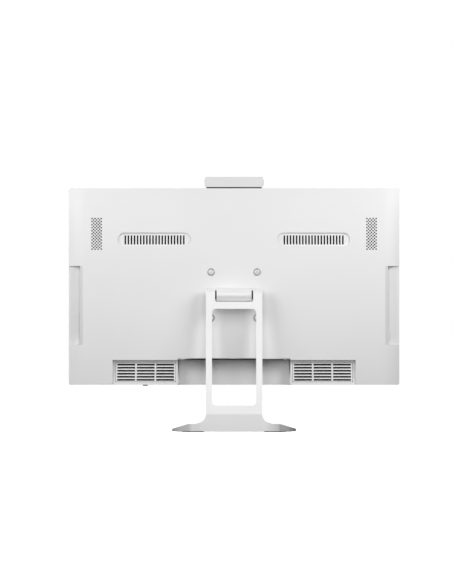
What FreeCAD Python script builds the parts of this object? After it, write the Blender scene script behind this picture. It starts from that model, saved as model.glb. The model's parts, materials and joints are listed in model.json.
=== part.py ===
import FreeCAD, Part
import math
import os
import re

import Sketcher

# An all in one computer on a leaning hollow neck. Millimetres, +Z up, the screen faces -Y.
# The origin is the middle of the footprint, on the table. A depth is measured from the front face.

VECTOR = FreeCAD.Vector
OUT = "parts"

DIMENSIONS = {
    # display casing
    "panel_width": 540,
    "panel_height": 321,
    "panel_base": 77,
    "front_y": -0.5,
    "edge_depth": 12,
    "bevel_width": 31,
    "cover_wall": 2.4,
    "rim": 3,
    "corner_radius": 3,
    "side_seam": 247,
    "skirt_seam": 121,
    "bay_seam": 92,
    "flange_width": 22,
    "flange_depth": 7.6,
    "flange_thick": 1.6,
    # screen
    "view_width": 527,
    "view_height": 296.5,
    "top_border": 6.5,
    "bezel_thick": 1.6,
    "screen_margin": 2.5,
    "cell_thick": 1.2,
    "tray_thick": 4.4,
    "fit_gap": 0.2,
    # cut-away along the bottom edge
    "bay_top": 117.5,
    "bay_half": 198.5,
    "port_half": 89.6,
    "port_floor_low": 19.5,
    "port_floor_high": 14.5,
    "port_slot_half": 81,
    "port_slot_front": 15,
    "port_slot_back": 30,
    "port_notch": 1.6,
    "grille_inner": 89.6,
    "grille_depth": 36.9,
    "grille_turn": 4.5,
    "grille_lean": 8.5,
    "louvre_start": 6.2,
    "louvre_width": 98,
    "louvre_base": 5.2,
    "louvre_height": 31,
    "louvre_rows": 6,
    "louvre_columns": 3,
    "louvre_slot": 2.75,
    "louvre_pitch": 5,
    "louvre_length": 29.2,
    "louvre_bar": 2.7,
    "louvre_plate": 2.2,
    "louvre_gap": 0.45,
    # oval vents
    "vent_x": 130,
    "vent_z": 314.6,
    "vent_width": 119,
    "vent_height": 21,
    "vent_slots": 20,
    "vent_pitch": 5.03,
    "vent_slot_width": 2.5,
    "vent_slot_height": 15,
    "vent_sink": 3.3,
    "vent_plate": 1.6,
    "vent_lip": 1.8,
    # speaker grilles
    "speaker_x": 224.5,
    "speaker_z": 323.6,
    "speaker_pitch": 5,
    "speaker_rows": 11,
    "speaker_columns": 4,
    "speaker_hole": 1.25,
    "filter_thick": 0.6,
    # port notches in the side edges
    "notch_x": 251.5,
    "notch_base": 142.5,
    "notch_height": 128.5,
    "notch_floor": 11,
    "notch_wall": 2.2,
    "jack_z": 246,
    "jack_depth": 15.8,
    "jack_radius": 1.8,
    # stand
    "neck_width": 92,
    "neck_thick": 8,
    "neck_lean": 10.28,
    "neck_leg": 10,
    "window_low": 43.2,
    "window_high": 200.9,
    "window_radius": 6.8,
    "ear_gap": 62,
    "ear_low": 212.5,
    "bend_z": 29.3,
    "hinge_z": 224,
    "hinge_depth": 50,
    "ear_radius": 10,
    "barrel_radius": 11,
    "barrel_length": 57,
    "shaft_radius": 4,
    "shaft_length": 88,
    "running_gap": 0.05,
    "foot_straight": 53,
    "foot_bend": 22,
    "foot_splay": 9,
    "foot_wall": 8.2,
    "foot_lift": 0.5,
    "arm_back_height": 13.6,
    "arm_tip_height": 4.7,
    "arm_back_width": 14,
    "arm_tip_width": 18,
    "flare_half": 46,
    "flare_radius": 14.5,
    "pad_thick": 1.7,
    "pad_inner": 49,
    "pad_outer": 85,
    # 75 mm screw square
    "vesa_pitch": 75,
    "vesa_z": 223.5,
    "vesa_head_radius": 6,
    "vesa_head_height": 2.4,
    "vesa_thread_radius": 2,
    "vesa_thread_length": 12,
    # raised camera
    "pod_half": 46,
    "pod_bulge": 2.6,
    "pod_height": 16.6,
    "pod_gap": 1.8,
    "pod_front": 8.2,
    "pod_thick": 8.8,
    "stem_half": 45.2,
    "stem_front": 11,
    "stem_thick": 3,
    "stem_bottom": 356,
    "camera_travel": 17,
    "spring_radius": 2.6,
    "spring_wire": 0.4,
    "spring_turns": 8,
    "spring_x": 30,
    "guide_base": 326,
    "guide_bar": 4,
    # power button
    "button_x": 145,
    "button_depth": 3,
    "button_width": 8,
    "button_thick": 4,
    "button_stand": 1.6,
    "button_flange": 1.2,
    "button_travel": 1,
    # cooling
    "blower_x": -150,
    "blower_z": 262,
    "blower_side": 76,
    "blower_front": 12,
    "blower_thick": 10.5,
    "blower_wall": 1.2,
    "rotor_radius": 27,
    "hub_radius": 13,
    "blade_count": 17,
    "pipe_radius": 2.5,
    "pipe_depth": 17.9,
    "fin_count": 22,
    "fin_pitch": 3,
}

# The back of the casing swells from a thin top to a deep base. Each level of it: the height, the rise of
# the bevelled sides above the edge, and the depth on the centre line.
LEVELS = {
    "foot": (77, 13, 40.5),
    "waist": (200, 12.7, 38),
    "chest": (300, 11.4, 33),
    "brow": (365, 8.8, 25.5),
    "top": (398, 5.6, 18.5),
}

# Plain blocks inside the casing: middle x, depth of the front face, base z, width, thickness, height.
BLOCKS = {
    "chassis": (0, 9.4, 122, 470, 1, 198),
    "board": (-10, 12.4, 121, 220, 1.6, 69),
    "processor": (-64, 14, 142, 30, 1, 30),
    "cooler": (-64, 15, 139, 36, 4.5, 36),
    "memory_socket": (14, 14, 160, 72, 4, 5),
    "memory_module": (14, 16, 160.5, 67.6, 1, 26),
    "solid_drive": (52, 16, 135, 80, 2, 22),
    "wireless": (-104, 16, 126, 22, 2, 30),
    "hard_drive": (160, 11.6, 180, 70, 7, 100),
    "inlet": (-66, 15.6, 118.2, 10, 9, 14),
    "display_port": (-42, 15.6, 118.2, 15.4, 6, 12),
    "network": (-16, 15.6, 118.2, 16, 13.4, 21),
    "rear_usb": (14, 15.6, 118.2, 13.4, 6.4, 14),
}


# ---------------------------------------------------------------- sheet and helpers

doc = FreeCAD.newDocument("all_in_one_pc")
sheet = doc.addObject("Spreadsheet::Sheet", "dims")
parts = {}


def fill_sheet():
    """Writes every driving dimension into the sheet, one row each, under its alias."""
    cells = dict(DIMENSIONS)
    for name, numbers in LEVELS.items():
        for field, number in zip(("level", "rise", "crown"), numbers):
            cells[f"{name}_{field}"] = number
    for name, numbers in BLOCKS.items():
        for field, number in zip(("middle", "depth", "base", "width", "thick", "height"), numbers):
            cells[f"{name}_{field}"] = number
    for row, (alias, number) in enumerate(cells.items(), 1):
        sheet.set(f"A{row}", alias)
        sheet.set(f"B{row}", str(number))
        sheet.setAlias(f"B{row}", alias)
    doc.recompute()
    return cells


CELLS = fill_sheet()
calculator = doc.addObject("App::FeaturePython", "calculator")
calculator.addProperty("App::PropertyFloat", "Result")


def bound(text):
    """The same expression with each alias read from the sheet."""
    return re.sub(
        r"[a-z][a-z_]*",
        lambda m: "dims." + m.group() if m.group() in CELLS else m.group(),
        str(text),
    )


def size(text):
    """What an expression of aliases comes to."""
    calculator.setExpression("Result", bound(text))
    calculator.recompute()
    return calculator.Result


def bind(thing, **expressions):
    for path, text in expressions.items():
        thing.setExpression(path.replace("__", "."), bound(text))
    return thing


def place(thing, x="0", y="0", z="0"):
    return bind(thing, Placement__Base__x=x, Placement__Base__y=y, Placement__Base__z=z)


def primitive(kind, name, at, **sizes):
    thing = doc.addObject("Part::" + kind, name)
    bind(thing, **sizes)
    return place(thing, *at)


def box(name, at, width, depth, height):
    return primitive("Box", name, at, Length=width, Width=depth, Height=height)


def middle_box(name, x, y, z, width, depth, height):
    """A box whose middle in X is at x."""
    return box(name, (f"{x} - ({width}) / 2", y, z), width, depth, height)


def cross_cylinder(name, x, y, z, radius, length):
    """A cylinder along +X from x."""
    thing = primitive("Cylinder", name, (x, y, z), Radius=radius, Height=length)
    thing.Placement.Rotation = FreeCAD.Rotation(VECTOR(0, 1, 0), 90)
    return place(thing, x, y, z)


def deep_cylinder(name, x, y, z, radius, length):
    """A cylinder along +Y from y."""
    thing = primitive("Cylinder", name, (x, y, z), Radius=radius, Height=length)
    thing.Placement.Rotation = FreeCAD.Rotation(VECTOR(1, 0, 0), -90)
    return place(thing, x, y, z)


def boolean(kind, name, base, *tools):
    """Part::Cut, Part::MultiFuse or Part::MultiCommon; several cutting tools are joined first."""
    if kind != "Cut":
        thing = doc.addObject("Part::Multi" + kind, name)
        thing.Shapes = [base, *tools]
        return thing
    tool = tools[0]
    if len(tools) > 1:
        tool = doc.addObject("Part::Compound", name + "_tools")
        tool.Links = list(tools)
    thing = doc.addObject("Part::Cut", name)
    thing.Base = base
    thing.Tool = tool
    return thing


def rounded(name, base, radius, pick):
    """Part::Fillet on the edges that pick accepts."""
    doc.recompute()
    edges = [i for i, edge in enumerate(base.Shape.Edges, 1) if pick(edge)]
    thing = doc.addObject("Part::Fillet", name)
    thing.Base = base
    thing.Edges = [(i, size(radius), size(radius)) for i in edges]
    return thing


def along(edge, axis):
    """True if a straight edge runs along that axis."""
    if edge.Curve.TypeId != "Part::GeomLine":
        return False
    return abs(edge.Curve.Direction.dot(axis)) > 0.999


def circular(edge):
    return edge.Curve.TypeId == "Part::GeomCircle"


def mirrored(name, source):
    thing = doc.addObject("Part::Mirroring", name)
    thing.Source = source
    thing.Normal = VECTOR(1, 0, 0)
    return thing


def compound(name, *members):
    thing = doc.addObject("Part::Compound", name)
    thing.Links = list(members)
    return thing


def shaped(name, shape):
    thing = doc.addObject("Part::Feature", name)
    thing.Shape = shape
    return thing


def part(label, thing):
    """Registers a finished sub-part under the name of its file."""
    thing.Label = label
    parts[label] = thing
    return thing


def sketch_in(body, role, name, offset="0"):
    sketch = body.newObject("Sketcher::SketchObject", name)
    plane = next(f for f in body.Origin.OriginFeatures if f.Role == role)
    sketch.AttachmentSupport = [(plane, "")]
    sketch.MapMode = "FlatFace"
    sketch.setExpression("AttachmentOffset.Base.z", bound(offset))
    return sketch


def outline(sketch, corners):
    """A closed outline. A corner is (across, up) or (across, up, radius): the radius is that of the arc
    from it to the next corner, positive where the arc bulges to the right of the way."""
    spots = [VECTOR(size(c[0]), size(c[1]), 0) for c in corners]
    first = sketch.GeometryCount
    for i, corner in enumerate(corners):
        a, b = spots[i], spots[(i + 1) % len(spots)]
        if len(corner) == 2:
            sketch.addGeometry(Part.LineSegment(a, b))
            continue
        radius = size(corner[2])
        half = (b - a).Length / 2
        side = VECTOR((b - a).y, -(b - a).x, 0).normalize()
        sag = abs(radius) - math.sqrt(max(radius * radius - half * half, 0))
        middle = (a + b) / 2 + side * math.copysign(sag, radius)
        sketch.addGeometry(Part.Arc(a, middle, b))
    ends = []
    for i, corner in enumerate(corners):
        start = sketch.getPoint(first + i, 1)
        ends.append((1, 2) if (start - spots[i]).Length < 1e-6 else (2, 1))
    for i, corner in enumerate(corners):
        j = (i + 1) % len(corners)
        here, there = first + i, first + j
        sketch.addConstraint(Sketcher.Constraint("Coincident", here, ends[i][1], there, ends[j][0]))
        for kind, text, spot in (
            ("DistanceX", corner[0], spots[i].x), ("DistanceY", corner[1], spots[i].y)
        ):
            row = sketch.addConstraint(Sketcher.Constraint(kind, -1, 1, here, ends[i][0], spot))
            sketch.setExpression(f"Constraints[{row}]", bound(text))
        if len(corner) == 3:
            row = sketch.addConstraint(Sketcher.Constraint("Radius", here, abs(size(corner[2]))))
            sketch.setExpression(f"Constraints[{row}]", bound(f"abs({corner[2]})"))
    return sketch


def prism(name, role, corners, length, offset="0", middle=False, holes=()):
    """A PartDesign body: one outline, with holes if any, padded along its plane's normal."""
    body = doc.addObject("PartDesign::Body", name)
    sketch = sketch_in(body, role, name + "_sketch", offset)
    outline(sketch, corners)
    for hole in holes:
        outline(sketch, hole)
    pad = body.newObject("PartDesign::Pad", name + "_pad")
    pad.Profile = sketch
    pad.Midplane = middle
    bind(pad, Length=length)
    sketch.Visibility = False
    return body


def round_rectangle(left, low, right, high, radius):
    """The outline of a rectangle with rounded corners."""
    return [
        (f"{left} + {radius}", low),
        (f"{right} - {radius}", low, radius),
        (right, f"{low} + {radius}"),
        (right, f"{high} - {radius}", radius),
        (f"{right} - {radius}", high),
        (f"{left} + {radius}", high, radius),
        (left, f"{high} - {radius}"),
        (left, f"{low} + {radius}", radius),
    ]


def upright(name, corners, depth, thick, holes=()):
    """A prism seen from the back, from a depth behind the front face and so thick."""
    return prism(name, "XZ_Plane", corners, thick, f"-(front_y + {depth} + {thick})", holes=holes)


def block(name, label=None):
    """One of BLOCKS, as a box bound to its own cells."""
    return middle_box(
        label or name,
        f"{name}_middle",
        f"front_y + {name}_depth",
        f"{name}_base",
        f"{name}_width",
        f"{name}_thick",
        f"{name}_height",
    )


X_AXIS = VECTOR(1, 0, 0)
Y_AXIS = VECTOR(0, 1, 0)
Z_AXIS = VECTOR(0, 0, 1)
HINGE_Y = "(front_y + hinge_depth)"
FOOT_BACK = f"({HINGE_Y} + (hinge_z - bend_z) * tan(neck_lean) + ear_radius / cos(neck_lean))"
HALF = "panel_width / 2"
PANEL_TOP = "(panel_base + panel_height)"


# ---------------------------------------------------------------- casing


def casing_outline(inset="0"):
    return round_rectangle(
        f"-({HALF}) + {inset}",
        f"panel_base + {inset}",
        f"{HALF} - {inset}",
        f"{PANEL_TOP} - {inset}",
        "corner_radius",
    )


def swell():
    """The solid behind the edge of the casing: a loft through the levels."""
    body = doc.addObject("PartDesign::Body", "swell")
    sketches = []
    for name in LEVELS:
        sketch = sketch_in(body, "XY_Plane", f"swell_{name}", f"{name}_level")
        rise = f"{name}_rise"
        edge = "(front_y + edge_depth)"
        shoulder = f"({edge} + {rise})"
        inner = f"({HALF} - bevel_width)"
        sag = f"({name}_crown - edge_depth - {rise})"
        crown = f"(({inner} ^ 2 + {sag} ^ 2) / 2 / {sag})"
        turn = f"(atan({rise} / bevel_width) - 2 * atan({sag} / {inner}))"
        bevel = f"(sqrt(bevel_width ^ 2 + {rise} ^ 2) / 2 / sin({turn}))"
        corners = [
            (f"-({HALF})", edge, f"-{bevel}"),
            (f"-{inner}", shoulder, f"-{crown}"),
            (inner, shoulder, f"-{bevel}"),
            (HALF, edge),
        ]
        outline(sketch, corners)
        sketches.append(sketch)
    loft = body.newObject("PartDesign::AdditiveLoft", "swell_loft")
    loft.Profile = sketches[0]
    loft.Sections = sketches[1:]
    for sketch in sketches:
        sketch.Visibility = False
    return body


outer = swell()
doc.recompute()


def back_depth(x, z):
    """How deep the back of the casing is at a point."""
    line = Part.makeLine(VECTOR(x, size("front_y + edge_depth + 0.5"), z), VECTOR(x, 80, z))
    cut = outer.Shape.common(line)
    return cut.BoundBox.YMax - size("front_y")


def tilted(thing, x, z, turn, lean):
    """Sets a tool on the back of the casing at (x, z), turned about Z and leaning about X to follow it."""
    rotation = FreeCAD.Rotation(Z_AXIS, turn).multiply(FreeCAD.Rotation(X_AXIS, lean))
    thing.Placement = FreeCAD.Placement(VECTOR(0, 0, 0), rotation)
    depth = back_depth(size(x), size(z))
    return place(thing, x, f"front_y + {depth:.3f}", z)


def slope(x, z, reach=20):
    """The turn about Z and the lean about X, in degrees, of the back of the casing at a point."""
    across = back_depth(x + reach, z) - back_depth(x - reach, z)
    up = back_depth(x, z + reach / 4) - back_depth(x, z - reach / 4)
    return math.degrees(math.atan2(across, 2 * reach)), math.degrees(math.atan2(-up, reach / 2))


def grille_tool(name, x, y, z, width, depth, height):
    """A box in the slanted frame of the louvred panels: x out from the port bay, y out of the casing."""
    tool = box(name, (x, y, z), width, depth, height)
    carrier = compound(name + "_set", tool)
    turn = FreeCAD.Rotation(Z_AXIS, -size("grille_turn"))
    lean = FreeCAD.Rotation(X_AXIS, size("grille_lean"))
    carrier.Placement = FreeCAD.Placement(VECTOR(0, 0, 0), turn.multiply(lean))
    return place(carrier, "grille_inner", "front_y + grille_depth", "panel_base")


def stadium(name, width, height, low, thick):
    """An oval prism about the origin, from y = low, so thick along +Y."""
    end = f"(({height}) / 2)"
    flat = f"(({width}) / 2 - {end})"
    corners = [
        (f"-{flat}", f"-{end}"),
        (flat, f"-{end}", f"{end} * 1.00001"),
        (flat, end),
        (f"-{flat}", end, f"{end} * 1.00001"),
    ]
    return prism(name, "XZ_Plane", corners, thick, f"-({low} + {thick})")


VENT_TURN, VENT_LEAN = slope(size("vent_x"), size("vent_z"))


def vent_hole():
    hole = stadium("vent_hole", "vent_width", "vent_height", "-8", "16")
    carrier = compound("vent_hole_set", hole)
    return tilted(carrier, "vent_x", "vent_z", VENT_TURN, VENT_LEAN)


def vent_grille(side):
    """The slotted oval behind one vent; its rim laps the inside of the cover."""
    name = "vent_" + side
    lap = "vent_lip * 2"
    plate = stadium(
        name + "_plate",
        f"vent_width + {lap}",
        f"vent_height + {lap}",
        "-vent_sink - vent_plate",
        "vent_plate",
    )
    step = size("vent_pitch")
    count = round(size("vent_slots"))
    slots = []
    for i in range(count):
        offset = f"{i - (count - 1) / 2} * vent_pitch"
        x, z = f"{offset} - vent_slot_width / 2", "-vent_slot_height / 2 - 0.8"
        y = "-vent_sink - vent_plate - 1"
        slots.append(
            box(f"{name}_slot_{i}", (x, y, z), "vent_slot_width", "vent_plate + 2", "vent_slot_height")
        )
    cut = boolean("Cut", name + "_cut", plate, *slots)
    carrier = compound(name + "_set", cut)
    tilted(carrier, "vent_x", "vent_z", VENT_TURN, VENT_LEAN)
    return carrier if side == "left" else mirrored(name + "_mirror", carrier)


def speaker_holes(side):
    sign = 1 if side == "left" else -1
    rows, columns = round(size("speaker_rows")), round(size("speaker_columns"))
    holes = []
    for row in range(2 * rows - 1):
        count = columns - row % 2
        for column in range(count):
            across = f"{column - (count - 1) / 2} * speaker_pitch"
            up = f"{(row - rows + 1) / 2} * speaker_pitch"
            x, z = f"{sign} * speaker_x + {across}", f"speaker_z + {up}"
            y = "front_y + edge_depth + 1"
            holes.append(
                deep_cylinder(f"speaker_hole_{side}_{row}_{column}", x, y, z, "speaker_hole", "25")
            )
    return holes


def rear_cover():
    shell = upright("cover_outline", casing_outline(), "edge_depth", "40")
    body = boolean("Common", "cover_form", outer, shell)

    hollow_core = compound("cover_hollow_core", outer)
    place(hollow_core, "0", "-cover_wall", "0")
    hollow_edge = upright("cover_hollow_edge", casing_outline("rim"), "edge_depth - 4", "44")
    hollow = boolean("Common", "cover_hollow", hollow_core, hollow_edge)

    # walls that stay solid round the cut-aways
    keep = []
    floor_wall = [
        ("front_y + port_floor_low - cover_wall", "panel_base - 1"),
        ("front_y + 60", "panel_base - 1"),
        ("front_y + 60", "bay_top + cover_wall"),
        ("front_y + port_floor_high - cover_wall", "bay_top + cover_wall"),
    ]
    keep.append(prism("port_bay_wall", "YZ_Plane", floor_wall, "(port_half + cover_wall) * 2", middle=True))
    slab = grille_tool("grille_wall", "-4", "-cover_wall", "-6", "130", "40", "70")
    region = box(
        "grille_wall_region",
        ("port_half", "front_y + 12", "panel_base - 1"),
        "bay_half - port_half + cover_wall",
        "60",
        "bay_top - panel_base + 1 + cover_wall",
    )
    grille_wall = boolean("Common", "grille_wall_part", slab, region)
    keep += [grille_wall, mirrored("grille_wall_mirror", grille_wall)]
    for side, sign in (("left", 1), ("right", -1)):
        x = "notch_x - notch_wall" if sign > 0 else "-notch_x - 30"
        width = "notch_wall + 30"
        z, height = "notch_base - notch_wall", "notch_height + 2 * notch_wall"
        keep.append(box(f"notch_wall_{side}", (x, "front_y", z), width, "60", height))
    hollow = boolean("Cut", "cover_hollow_kept", hollow, *keep)

    cuts = [hollow]
    bay = [
        ("front_y + port_floor_low", "panel_base"),
        ("front_y + port_floor_low", "panel_base - 2"),
        ("front_y + 60", "panel_base - 2"),
        ("front_y + 60", "bay_top"),
        ("front_y + port_floor_high", "bay_top"),
    ]
    cuts.append(prism("port_bay", "YZ_Plane", bay, "port_half * 2", middle=True))
    slab = grille_tool("grille_recess", "-4", "0", "-6", "130", "40", "70")
    region = box(
        "grille_recess_region",
        ("port_half - 0.01", "front_y + 12", "panel_base - 2"),
        "bay_half - port_half",
        "60",
        "bay_top - panel_base + 2",
    )
    recess = boolean("Common", "grille_recess_part", slab, region)
    cuts += [recess, mirrored("grille_recess_mirror", recess)]
    gap = "louvre_gap"
    window = grille_tool(
        "louvre_window",
        f"louvre_start - {gap}",
        "-10",
        f"louvre_base - {gap}",
        f"louvre_width + 2 * {gap}",
        "20",
        f"louvre_height + 2 * {gap}",
    )
    cuts += [window, mirrored("louvre_window_mirror", window)]
    slot_depth = "port_slot_back - port_slot_front"
    slot_at = ("-port_slot_half", "front_y + port_slot_front", "bay_top - 1")
    cuts.append(box("port_slot", slot_at, "port_slot_half * 2", slot_depth, "cover_wall + 2"))
    lip_at = ("-port_slot_half", "front_y + port_slot_back - 1", "bay_top - 1")
    cuts.append(box("port_lip", lip_at, "port_slot_half * 2", "30", "port_notch + 1"))
    for side, sign in (("left", 1), ("right", -1)):
        x = "notch_x" if sign > 0 else "-notch_x - 30"
        cuts.append(box(f"notch_{side}", (x, "front_y", "notch_base"), "30", "60", "notch_height"))
    vent = vent_hole()
    cuts += [vent, mirrored("vent_hole_mirror", vent)]
    cuts += speaker_holes("left") + speaker_holes("right")
    cuts.append(middle_box("hinge_opening", "0", "front_y + 25", "hinge_z - 10", "50", "25", "20"))
    for x, z, depth in vesa_spots():
        spot = deep_cylinder("screw_spot", x, f"front_y + {depth}", z, "vesa_head_radius + 0.3", "8")
        hole = deep_cylinder("screw_way", x, "front_y + 25", z, "vesa_thread_radius + 0.2", "20")
        cuts += [spot, hole]
    cuts.append(camera_pocket("cover_pocket"))
    cuts += side_port_tools()
    return boolean("Cut", "cover_cut", body, *cuts)


def cover_mouldings():
    """The mouldings that the cover comes in, met face to face: the back, its corners above and below the side
    notches, the plate in each notch, a wing round each louvred recess and the wall of the port bay."""
    cover = rear_cover()
    end, low, high = f"({HALF} + 10)", "(panel_base - 10)", f"({PANEL_TOP} + 10)"
    plates = []
    for sign, x in ((1, "side_seam"), (-1, "-notch_x - 1")):
        at = (x, "front_y - 10", "notch_base")
        width = "notch_x + 1 - side_seam"
        plates.append(box(f"port_plate_region_{sign + 1}", at, width, "100", "notch_height"))
    regions = {
        "rear_cover": [("-side_seam", "side_seam", "skirt_seam", high)],
        "corner_covers": [
            ("side_seam", end, "skirt_seam", high),
            (f"-{end}", "-side_seam", "skirt_seam", high),
        ],
        "wing_covers": [
            ("bay_seam", end, low, "skirt_seam"),
            (f"-{end}", "-bay_seam", low, "skirt_seam"),
        ],
        "port_bay_cover": [("-bay_seam", "bay_seam", low, "skirt_seam")],
    }
    for name, spans in regions.items():
        pieces = []
        for i, (left, right, base, top) in enumerate(spans):
            at = (left, "front_y - 10", base)
            region = box(f"{name}_region_{i}", at, f"{right} - ({left})", "100", f"{top} - {base}")
            piece = boolean("Common", f"{name}_piece_{i}", cover, region)
            if name == "corner_covers":
                piece = boolean("Cut", f"{name}_pair_{i}", piece, plates[i])
            pieces.append(piece)
        part(name, pieces[0] if len(pieces) == 1 else compound(name, *pieces))
    pieces = [boolean("Common", f"port_plate_{i}", cover, plate) for i, plate in enumerate(plates)]
    part("side_port_plates", compound("side_port_plates", *pieces))


def vesa_spots():
    """The four screw centres of the 75 mm square and how deep each head is let in."""
    spots = []
    for across in (-1, 1):
        for up in (-1, 1):
            x, z = f"{across} * vesa_pitch / 2", f"vesa_z + {up} * vesa_pitch / 2"
            reach = size("vesa_head_radius") + 0.3
            rim = [(size(x) + dx, size(z) + dz) for dx in (-reach, reach) for dz in (-reach, reach)]
            depth = min(back_depth(*point) for point in rim) - 0.2
            spots.append((x, z, f"{depth:.3f}"))
    return spots


def camera_pocket(name):
    """The well in the top edge that takes the whole camera when it is pushed down."""
    low = f"({PANEL_TOP} + pod_gap - camera_travel - 1.2)"
    width = "(pod_half + pod_bulge + 0.6) * 2"
    return middle_box(
        name, "0", "front_y + pod_front - 0.4", low, width, "pod_thick + 0.8", f"{PANEL_TOP} - {low} + 5"
    )


SIDE_USB = ("160", "180")


def side_port_tools():
    """The openings in the inner walls of the side notches."""
    tools = []
    for i, z in enumerate(SIDE_USB):
        at = ("notch_x - notch_wall - 1", "front_y + 12.4", z)
        tools.append(box(f"side_usb_way_{i}", at, "notch_wall + 2", "5.2", "13.2"))
    tools.append(
        box(
            "side_c_way",
            ("notch_x - notch_wall - 1", "front_y + 13", "206"),
            "notch_wall + 2",
            "3.4",
            "9.2",
        ),
    )
    jack_at = ("notch_x - notch_wall - 1", "front_y + jack_depth", "jack_z")
    tools.append(cross_cylinder("jack_way", *jack_at, "3", "notch_wall + 2"))
    tools.append(box("lock_way", ("-notch_x - 1", "front_y + 13", "151"), "notch_wall + 2", "4.4", "13.6"))
    return tools


def middle_frame():
    depth = "bezel_thick + 0.1"
    thick = f"edge_depth - 0.1 - ({depth})"
    ring = upright("frame_ring", casing_outline(), depth, thick, holes=[casing_outline("rim")])
    flange_hole = casing_outline("rim + flange_width")
    flange = upright(
        "frame_flange", casing_outline("rim - 0.5"), "flange_depth", "flange_thick", holes=[flange_hole]
    )
    pieces = [ring, flange]
    for side, sign in (("left", 1), ("right", -1)):
        x = "notch_x - 4" if sign > 0 else "-panel_width / 2 + 1"
        width = "panel_width / 2 - notch_x + 3"
        z, height = "notch_base - 3", "notch_height + 6"
        y, depth = "front_y + flange_depth + 1", "notch_floor - flange_depth - 1"
        pieces.append(box(f"frame_shelf_{side}", (x, y, z), width, depth, height))
    frame = boolean("Fuse", "frame_solid", *pieces)
    cuts = [camera_pocket("frame_pocket")]
    for side, sign in (("left", 1), ("right", -1)):
        x = "notch_x" if sign > 0 else "-notch_x - 30"
        cuts.append(
            box(
                f"frame_notch_{side}", (x, "front_y + notch_floor", "notch_base"), "30", "9", "notch_height"
            ),
        )
    at = ("button_x", "front_y + button_depth - 0.3", "panel_base - 1")
    cuts.append(middle_box("button_way", *at, "button_width + 0.6", "button_thick + 0.6", "rim + 2"))
    return boolean("Cut", "middle_frame_cut", frame, *cuts)


def screen():
    low = f"({PANEL_TOP} - top_border - view_height)"
    view = round_rectangle("-view_width / 2", low, "view_width / 2", f"{low} + view_height", "0.8")
    bezel = upright("front_bezel", casing_outline(), "0", "bezel_thick", holes=[view])
    part("front_bezel", bezel)
    at = ("0", "front_y + bezel_thick + 0.1", f"{low} - screen_margin")
    wide, high = "view_width + screen_margin * 2", "view_height + screen_margin * 2"
    part("display_cell", middle_box("display_cell", *at, wide, "cell_thick", high))
    at = ("0", "front_y + bezel_thick + cell_thick + 0.2", f"{low} - screen_margin")
    part("backlight_tray", middle_box("backlight_tray", *at, wide, "tray_thick", high))


def louvre(side):
    """The slotted panel let into one wing of the cut-away."""
    name = "louvre_" + side
    plate = box(name + "_plate", ("0", "0", "0"), "louvre_width", "louvre_plate", "louvre_height")
    plate = rounded(name + "_corners", plate, "1.8", lambda edge: along(edge, Y_AXIS))
    slots = []
    rows, columns = round(size("louvre_rows")), round(size("louvre_columns"))
    left = "(louvre_width - louvre_columns * louvre_length - (louvre_columns - 1) * louvre_bar) / 2"
    low = "(louvre_height - (louvre_rows - 1) * louvre_pitch - louvre_slot) / 2"
    for row in range(rows):
        for column in range(columns):
            x = f"{left} + {column} * (louvre_length + louvre_bar)"
            z = f"{low} + {row} * louvre_pitch"
            slots.append(
                box(
                    f"{name}_{row}_{column}",
                    (x, "-1", z),
                    "louvre_length",
                    "louvre_plate + 2",
                    "louvre_slot",
                ),
            )
    cut = boolean("Cut", name + "_cut", plate, *slots)
    place(cut, "louvre_start", "-louvre_plate", "louvre_base")
    carrier = compound(name + "_set", cut)
    turn = FreeCAD.Rotation(Z_AXIS, -size("grille_turn"))
    lean = FreeCAD.Rotation(X_AXIS, size("grille_lean"))
    carrier.Placement = FreeCAD.Placement(VECTOR(0, 0, 0), turn.multiply(lean))
    place(carrier, "grille_inner", "front_y + grille_depth", "panel_base")
    return carrier if side == "left" else mirrored(name + "_mirror", carrier)


def dust_filters():
    """Black mesh sheets behind the louvres and the oval vents, and cloth over the loudspeakers."""
    gap = "0.3"
    louvre_sheet = grille_tool(
        "louvre_filter",
        "louvre_start - 1",
        f"-cover_wall - {gap} - filter_thick",
        "louvre_base - 1",
        "louvre_width + 2",
        "filter_thick",
        "louvre_height + 2",
    )
    low = f"-vent_sink - vent_plate - {gap} - filter_thick"
    oval = stadium(
        "vent_filter_form", "vent_width + vent_lip", "vent_height + vent_lip", low, "filter_thick"
    )
    vent_sheet = tilted(compound("vent_filter", oval), "vent_x", "vent_z", VENT_TURN, VENT_LEAN)
    sheets = []
    for sheet_form in (louvre_sheet, vent_sheet):
        sheets += [sheet_form, mirrored(sheet_form.Name + "_mirror", sheet_form)]
    for side, sign in (("left", 1), ("right", -1)):
        at = (f"{sign} * speaker_x", "front_y + 19.05", "speaker_z - 27")
        sheets.append(middle_box(f"cloth_{side}", *at, "18", "filter_thick / 2", "54"))
    part("dust_filters", compound("dust_filters", *sheets))


screen()
part("middle_frame", middle_frame())
cover_mouldings()
for hand in ("left", "right"):
    part("louvre_grille_" + hand, louvre(hand))
    part("vent_grille_" + hand, vent_grille(hand))
dust_filters()


# ---------------------------------------------------------------- inside the casing


def chassis_plate():
    plate = block("chassis")
    holes = []
    for i in range(6):
        holes.append(deep_cylinder(f"chassis_hole_{i}", f"{-190 + 76 * i}", "front_y", "308", "5", "30"))
    return boolean("Cut", "chassis_plate", plate, *holes)


BOARD_HOLES = tuple((x, z) for x in (-114, -14, 94) for z in (126.5, 184))
MOUNT_HOLES = tuple((x, z) for x in (-47, 47) for z in (203, 244))


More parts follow.
